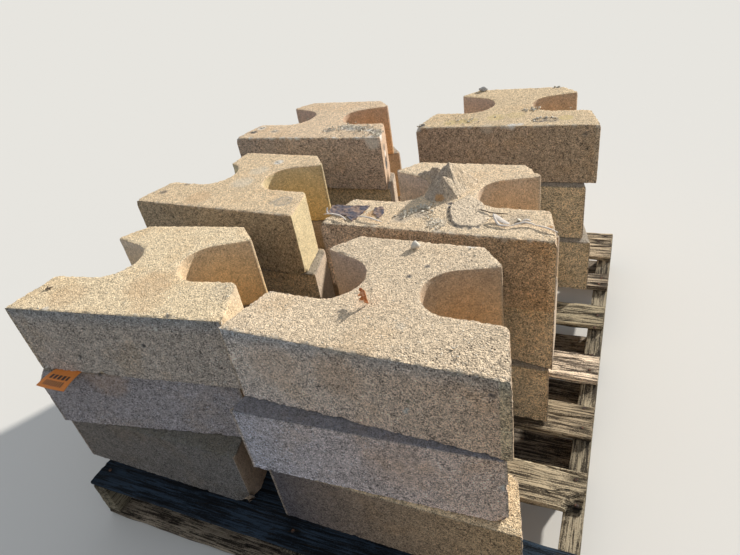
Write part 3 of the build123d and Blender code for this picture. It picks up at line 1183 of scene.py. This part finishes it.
class BLOCKPALLET_OT_nails(bpy.types.Operator):
    """Drive the nails through the deck boards into the stringers"""

    bl_idname = "blockpallet.nails"
    bl_label = "Nails"

    def execute(self, context):
        rust = rusty_finish("rusty_nail", context.scene.timber_look)
        dice = random.Random(9)
        bm = bmesh.new()
        for board in DECK_BOARDS:
            for place in nails_of(board):
                nail_head(bm, place - UP * NAIL_SUNK, NAIL_WIDTH, dice.uniform(-0.2, 0.2))
        new_piece(bm, "nails", (rust,))
        return {"FINISHED"}


def along_route(route, share):
    """The place and direction at a share of the way along a smooth route."""
    step = share * (len(route) - 1)
    index = min(int(step), len(route) - 2)
    near = step - index
    start, end = route[index], route[index + 1]
    leave = (end - route[max(0, index - 1)]) / 2
    arrive = (route[min(len(route) - 1, index + 2)] - start) / 2
    near2, near3 = near**2, near**3
    place = start * (2 * near3 - 3 * near2 + 1) + end * (3 * near2 - 2 * near3)
    place = place + leave * (near3 - 2 * near2 + near) + arrive * (near3 - near2)
    return place, (end - start).normalized()


def rod(bm, points, width, thick, taper=0.4, cuts=20):
    """Add a tapered rod or strip through points in millimetres."""
    before = len(bm.verts)
    bmesh.ops.create_cone(bm, cap_ends=True, segments=8, radius1=0.5, radius2=0.5, depth=1.0)
    bm.verts.ensure_lookup_table()
    fresh = set(bm.verts[before:])
    upright = [edge for edge in bm.edges if edge.verts[0] in fresh and is_along(edge, 2)]
    bmesh.ops.subdivide_edges(bm, edges=upright, cuts=cuts)
    bm.verts.ensure_lookup_table()
    route = [Vector(point) * MM for point in points]
    for vert in bm.verts[before:]:
        share = vert.co.z + 0.5
        centre, run = along_route(route, share)
        side = run.cross(UP).normalized()
        girth = 1 - (1 - taper) * abs(2 * share - 1) ** 3
        girth *= 1 + 0.3 * ripple(centre, 0.008, Vector((width, thick, 0)))
        vert.co = centre + side * (vert.co.x * width * MM * girth) + UP * (vert.co.y * thick * MM * girth)


def spread_from(place, part, size):
    """A part of a thing of some size round a place, both in millimetres, as a place in metres."""
    return Vector([at + share * width for at, share, width in zip(place, part, size)]) * MM


def stone(bm, place, size, dice, corners=11):
    """Add an angular stone: its place and its three sizes in millimetres."""
    points = []
    for _ in range(corners):
        out = Vector([dice.gauss(0, 1) for _ in range(3)]).normalized() * dice.uniform(0.36, 0.56)
        points.append(bm.verts.new(spread_from(place, out, size)))
    hull = bmesh.ops.convex_hull(bm, input=points)
    spare = {part for part in hull["geom_interior"] + hull["geom_unused"] if part.is_valid}
    bmesh.ops.delete(bm, geom=only_verts(spare), context="VERTS")


def pebble(bm, place, size, seed):
    """Add a rounded pebble: its place and its three sizes in millimetres."""
    made = bmesh.ops.create_icosphere(bm, subdivisions=4, radius=0.5)
    for vert in made["verts"]:
        direction = vert.co.normalized()
        swell = 1 + 0.3 * noise.noise(direction * 1.3 + seed) + 0.1 * noise.noise(direction * 4 + seed)
        vert.co = spread_from(place, vert.co * swell, size)


# Loose crumbs of mortar and grit: x, y and width in millimetres on each top block
CRUMBS = {
    "middle_right_top": (
        (-69, 68, 7), (-7, 45, 6), (7, 32, 6), (-4, 19, 5), (11, 6, 5), (98, 60, 5), (4, 14, 6),
        (150, 62, 9),
    ),
    "rear_left_top": (
        (-183, 79, 7), (-176, 84, 6), (-123, 54, 7), (-62, 149, 6), (-210, 20, 6), (-192, 47, 7),
    ),
    "rear_right_top": (
        (78, 50, 8), (70, 42, 9), (84, 56, 8), (98, 56, 8), (112, 56, 7), (120, 50, 7), (72, 32, 7),
        (-30, 66, 7), (-14, 70, 6), (-218, 16, 9), (-210, 24, 8), (-222, 6, 8), (94, 298, 8),
        (104, 299, 9), (150, 120, 5),
    ),
    "front_right_top": (
        (95, 292, 6), (108, 272, 5), (-190, 40, 4), (60, 60, 4), (150, 30, 5), (140, 44, 5),
    ),
    "middle_left_top": (
        (28, 252, 7), (38, 246, 5), (-190, 52, 6), (-202, 44, 6), (150, 52, 4), (180, 68, 4),
    ),
    "front_left_top": ((-150, 4, 6), (121, 12, 5), (205, 66, 4), (190, 92, 4)),
}

# Crusts of crumbs: their course in millimetres, how far they stray, how many and how wide
CRUSTS = (
    ("middle_right_top", ((-64, 44), (-50, 76), (-34, 92)), 8, 45, 9),
    ("middle_right_top", ((-12, 60), (0, 40), (10, 22)), 9, 40, 5),
    ("rear_left_top", ((40, 58), (95, 80), (140, 74), (190, 50), (226, 20)), 11, 170, 6.5),
    ("rear_left_top", ((120, 60), (200, 20), (226, 4)), 14, 60, 6),
    ("rear_right_top", ((36, 108), (56, 116), (74, 122)), 6, 24, 7),
    ("rear_right_top", ((-141, 34), (-106, 42), (-85, 53)), 11, 34, 5.5),
)


# Outlines of the dark flakes in millimetres
FLAKES = {
    "dark_flake_wide": (
        (-230, 47), (-231, 73), (-190, 76), (-151, 79), (-153, 49), (-160, 15), (-172, 24), (-185, 36),
        (-219, 36),
    ),
    "dark_flake_small": ((-137, 72), (-120, 78), (-108, 55), (-112, 34), (-130, 52)),
}

# Strips of bark and twigs: their block, then the course, width and thickness of each in millimetres,
# with the taper and the number of cuts where they aren't the common ones
RODS = {
    "bark_strips": ("middle_right_top", (
        (((-232, 31, 154), (-216, 30, 157), (-202, 30, 156), (-188, 24, 157), (-174, 16, 154)), 4.8, 2.2),
        (((-156, 33, 154), (-140, 28, 157), (-125, 25, 157), (-112, 21, 156), (-98, 19, 154)), 4.4, 2.2),
        (((-222, 33, 153), (-227, 38, 158), (-228, 44, 163)), 4, 1.6),
        (((106, 64, 162), (112, 50, 159), (121, 39, 155), (132, 36, 155), (143, 37, 155)), 5, 2.2),
        (((143, 37, 155), (153, 44, 156), (163, 49, 157), (174, 49, 156), (184, 45, 155)), 4.6, 2.2),
        (((184, 45, 155), (196, 40, 156), (208, 35, 156), (224, 28, 154)), 4, 2.4),
        (((106, 63, 161), (116, 57, 157), (127, 50, 155), (138, 44, 154)), 11, 2),
        (((158, 58, 153.5), (165, 62, 155), (173, 61, 154)), 5.5, 2),
    )),
    "thin_twig": ("middle_right_top", (
        (((73, 89, 155), (87, 83, 155.5), (100, 79, 155), (129, 79, 154.5)), 2.2, 2.2, 0.5),
    )),
    "dark_twigs": ("front_left_top", (
        (((-181, 57, 153.5), (-179, 61, 154.5), (-176, 65, 154), (-171, 68, 153.5)), 2.8, 2.4),
        (((-178, 58, 153.5), (-179, 62, 156), (-180, 66, 157)), 2, 2, 0.3, 8),
        (((-186, 61, 153), (-179, 62, 154), (-173, 62, 154)), 3.2, 2, 0.3, 8),
    )),
}

# The leaf: its length and half its width in metres, and where it stands on its block in millimetres
LEAF_LENGTH, LEAF_HALF = 0.028, 0.0085
LEAF_PLACE = (-16, 110, 153)


def curled_leaf():
    """A small dry leaf that stands crumpled on its edge, in its block's frame."""
    bm = flat_grid(14, 20)
    turn = Euler((math.radians(55), math.radians(-30), math.radians(20))).to_matrix()
    seed = Vector((2.0, 2.0, 2.0))
    for vert in bm.verts:
        along = vert.co.y + 0.5
        lobes = 1 + 0.35 * math.sin(along * 22)
        half = LEAF_HALF * lobes * max(0.03, math.sin(math.pi * min(1.0, along * 0.97 + 0.02)))
        fold = abs(vert.co.x) * 2
        flat = Vector((2 * vert.co.x * half * (1 - 0.35 * fold), along * LEAF_LENGTH, half * fold * 1.1))
        flat.z += 0.005 * math.sin(along * 5.5) + 0.0025 * ripple(flat, 0.0045, seed)
        flat.x += 0.003 * math.sin(along * 4.0)
        vert.co = Vector(LEAF_PLACE) * MM + turn @ flat
    return bm


class BLOCKPALLET_OT_litter(bpy.types.Operator):
    """Drop stones, crumbs, twigs, strips of bark, flakes and a leaf on the load"""

    bl_idname = "blockpallet.litter"
    bl_label = "Litter"

    def execute(self, context):
        look = context.scene.litter_look
        stones = litter_finish("pale_stone", look.pebble, 0.006, 0.5, 0.0008)
        dice = random.Random(5)
        for block, crumbs in CRUMBS.items():
            bm = bmesh.new()
            for x, y, width in crumbs:
                size = [width * dice.uniform(0.8, 1.5), width * dice.uniform(0.8, 1.3), width * 0.6]
                stone(bm, (x, y, BLOCK_HEIGHT + width * 0.12), size, dice)
            self.drop(bm, block, f"crumbs_{block}", stones)
        for count, (block, course, stray, crumbs, width) in enumerate(CRUSTS):
            bm = bmesh.new()
            route = [Vector((*place, BLOCK_HEIGHT)) for place in course]
            for _ in range(crumbs):
                middle = along_route(route, dice.uniform(0.0, 0.999))[0]
                place = (middle.x + dice.gauss(0, stray), middle.y + dice.gauss(0, stray), BLOCK_HEIGHT + 1)
                if place[0] < 225 and place[1] > 2:
                    stone(bm, place, [width * dice.uniform(0.35, 1.2) for _ in range(3)], dice)
            self.drop(bm, block, f"crust_{count + 1}", stones)

        bm = bmesh.new()
        stone(bm, (1, 277, 157.5), (19, 16, 17), random.Random(3), 16)
        pale = litter_finish("white_chip", (0.78, 0.73, 0.65), 0.008, 0.5, 0.0008)
        self.drop(bm, "front_right_top", "white_chip", pale)
        bm = bmesh.new()
        pebble(bm, (-106, 292, 156.5), (25, 17, 12), Vector((8.3, 4.0, 0.0)))
        grey = litter_finish("grey_pebble", (0.55, 0.54, 0.53), 0.012, 0.8, 0.0006)
        self.drop(bm, "rear_right_top", "grey_pebble", grey)

        flake = litter_finish("dark_flake", look.flake, 0.02, 0.5, 0.0008, (0.3, 0.2, 0.15))
        for name, outline in FLAKES.items():
            bm = plate(outline, BLOCK_HEIGHT - 0.8, 2.2, 0.5, Vector((len(outline), 6.2, 1.7)))
            self.drop(bm, "middle_right_top", name, flake)

        bark = litter_finish("pale_bark", look.bark, 0.005, 0.7, 0.0008)
        twig = litter_finish("dry_twig", look.twig, 0.004, 0.5, 0.0005)
        for name, (block, rods) in RODS.items():
            bm = bmesh.new()
            for shape in rods:
                rod(bm, *shape)
            self.drop(bm, block, name, bark if name == "bark_strips" else twig, "deck_wood")

        leaf = litter_finish("dry_leaf", look.leaf, 0.006, 0.8, 0.0004, (0.8, 0.5, 0.3))
        piece = self.drop(curled_leaf(), "front_right_top", "dry_leaf", leaf, "deck_wood")
        thicken(piece)
        return {"FINISHED"}

    def drop(self, bm, block, name, finish, slot="concrete"):
        """Set a thing down on a block."""
        bm.transform(seat_of(block))
        return new_piece(bm, name, (finish,), (), 70)


# Corners of the tag in millimetres on the pallet: in the joint, and hanging out of it
TAG_INNER = ((-466.9, -555.0, 425.2), (-404.4, -552.0, 425.2))
TAG_OUTER = ((-486, -600, 415), (-411, -599, 415))


class BLOCKPALLET_OT_tag(bpy.types.Operator):
    """Tuck the plain orange tag into the joint of the front left stack"""

    bl_idname = "blockpallet.tag"
    bl_label = "Tag"

    def execute(self, context):
        card = tag_finish("orange_card", context.scene.litter_look)
        inner = [Vector(corner) for corner in TAG_INNER]
        outer = [Vector(corner) for corner in TAG_OUTER]
        bm = flat_grid(24, 16)
        sheet = bm.loops.layers.uv.new("tag")
        for face in bm.faces:
            for loop in face.loops:
                loop[sheet].uv = (loop.vert.co.x + 0.5, loop.vert.co.y + 0.5)
        for vert in bm.verts:
            across, outward = vert.co.x + 0.5, vert.co.y + 0.5
            place = inner[0].lerp(inner[1], across).lerp(outer[0].lerp(outer[1], across), outward)
            place.z += 2.5 * math.sin(math.pi * outward) + 1.2 * math.sin(math.pi * across) * outward
            place.y -= 2.0 * math.sin(math.pi * across) * outward
            vert.co = place * MM
        piece = new_piece(bm, "orange_tag", (card,))
        thicken(piece)
        return {"FINISHED"}


def floor_seen(finish):
    """1 for rays that come from the camera, a mirror or glass."""
    seen = finish.node("ShaderNodeLightPath", output="Is Camera Ray")
    return seen.larger(seen.beside("Is Glossy Ray")).larger(seen.beside("Is Transmission Ray"))


def floor_finish(look):
    """A pale floor for the camera that throws less light back at the load."""
    finish = new_finish("pale_floor")
    tint = finish.blend(floor_seen(finish), look.bounce, look.floor)
    shader = finish.node("ShaderNodeBsdfDiffuse", None, {"Color": tint})
    finish.node("ShaderNodeOutputMaterial", None, {"Surface": shader})
    return finish.owner


class BLOCKPALLET_OT_stage(bpy.types.Operator):
    """Lay the floor, hang the light and stand the camera"""

    bl_idname = "blockpallet.stage"
    bl_label = "Stage"

    def execute(self, context):
        scene = context.scene
        look = scene.stage_look
        bm = flat_grid(1, 1, size=60)
        mesh = bpy.data.meshes.new("floor")
        bm.to_mesh(mesh)
        bm.free()
        mesh.materials.append(floor_finish(look))
        floor = linked("floor", mesh)

        data = bpy.data.lights.new("sun", "SUN")
        data.energy = look.sun_strength
        data.color = look.sun_colour
        data.angle = look.sun_softness
        linked("sun", data).rotation_euler = (0, math.pi / 2 - look.sun_height, look.sun_azimuth)

        world = bpy.data.worlds.new("sky")
        scene.world = world
        sky = Finish(world)
        fill = tuple(part * look.fill for part in look.fill_colour)
        tint = sky.blend(floor_seen(sky), fill, look.floor)
        light = sky.node("ShaderNodeBackground", None, {"Color": tint, "Strength": 1.0})
        sky.node("ShaderNodeOutputWorld", None, {"Surface": light})

        data = bpy.data.cameras.new("camera")
        data.sensor_width = 36
        data.lens = look.lens
        data.clip_end = 200
        scene.camera = linked("camera", data)
        scene.camera.location = look.camera_place
        scene.camera.rotation_euler = look.camera_turn
        scene.view_settings.view_transform = "Standard"
        return {"FINISHED"}


class BLOCKPALLET_PT_panel(bpy.types.Panel):
    """The looks and the pieces in the sidebar"""

    bl_idname = "BLOCKPALLET_PT_panel"
    bl_label = "Block pallet"
    bl_space_type = "VIEW_3D"
    bl_region_type = "UI"
    bl_category = "Block pallet"

    def draw(self, context):
        for look in LOOKS:
            box = self.layout.box()
            for name in LOOKS[look].__annotations__:
                box.prop(getattr(context.scene, look), name)
        for operator in OPERATORS:
            self.layout.operator(operator.bl_idname)


LOOKS = {
    "concrete_look": ConcreteLook,
    "timber_look": TimberLook,
    "litter_look": LitterLook,
    "stage_look": StageLook,
}
OPERATORS = (
    BLOCKPALLET_OT_stage,
    BLOCKPALLET_OT_blocks,
    BLOCKPALLET_OT_mortar,
    BLOCKPALLET_OT_boards,
    BLOCKPALLET_OT_stringers,
    BLOCKPALLET_OT_nails,
    BLOCKPALLET_OT_litter,
    BLOCKPALLET_OT_tag,
)


def register():
    """Add the looks, the operators and the panel."""
    for name, look in LOOKS.items():
        bpy.utils.register_class(look)
        setattr(bpy.types.Scene, name, PointerProperty(type=look))
    for made in (*OPERATORS, BLOCKPALLET_PT_panel):
        bpy.utils.register_class(made)


def unregister():
    """Take the looks, the operators and the panel away."""
    for made in (BLOCKPALLET_PT_panel, *reversed(OPERATORS)):
        bpy.utils.unregister_class(made)
    for name, look in LOOKS.items():
        delattr(bpy.types.Scene, name)
        bpy.utils.unregister_class(look)


def main():
    """Dress the part."""
    register()
    for operator in OPERATORS:
        group, name = operator.bl_idname.split(".")
        getattr(getattr(bpy.ops, group), name)()


if __name__ == "__main__":
    main()
